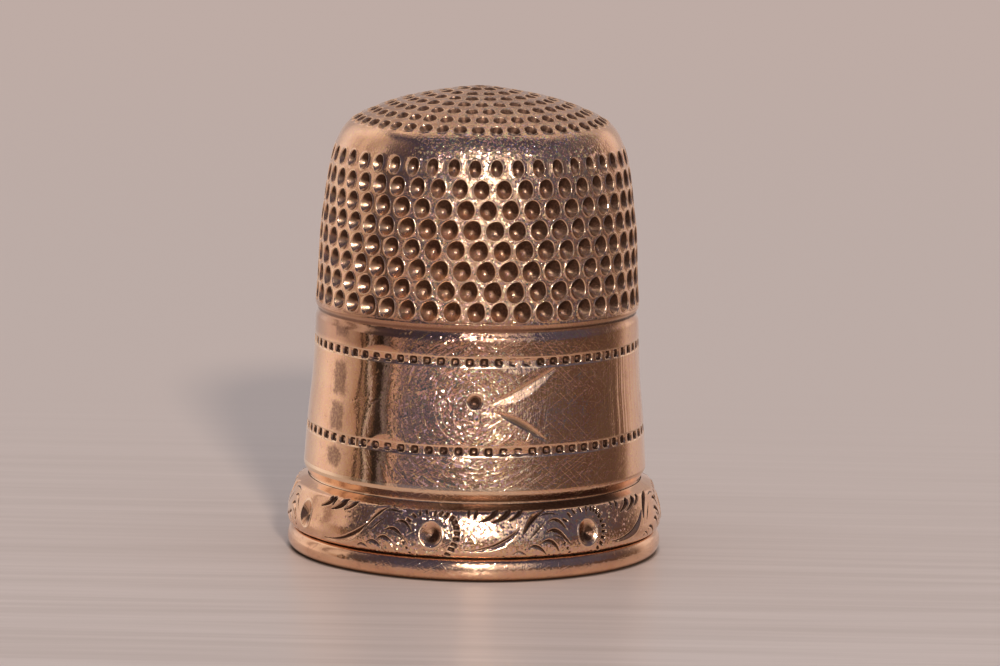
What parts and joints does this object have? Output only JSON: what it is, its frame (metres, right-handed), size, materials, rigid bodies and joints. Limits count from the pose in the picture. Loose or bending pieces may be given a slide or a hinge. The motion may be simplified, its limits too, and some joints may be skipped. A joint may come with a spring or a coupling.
{
  "type": "thimble",
  "caption": "Sewing thimble in rose gold: domed knurled cap, dimpled wall, plain banded lower wall with an applied rim and a plain foot ring, open at the mouth.",
  "frame": {"origin": "centre of the mouth, on the plane the thimble stands on", "axes": "+Z along the thimble's axis from the mouth to the cap, -Y towards the viewer"},
  "size_m": [0.0178, 0.0178, 0.0221],
  "materials": {
    "cup_gold": "worn rose gold, brown patina in the dimples, fine scratches",
    "rim_gold": "engraved rose gold, dark in the cuts and bright on the high edges",
    "foot_gold": "polished rose gold with small knocks"
  },
  "bodies": {
    "root": {"dimpled_cup": "cup_gold", "applied_rim": "rim_gold", "foot_ring": "foot_gold"}
  },
  "joints": []
}
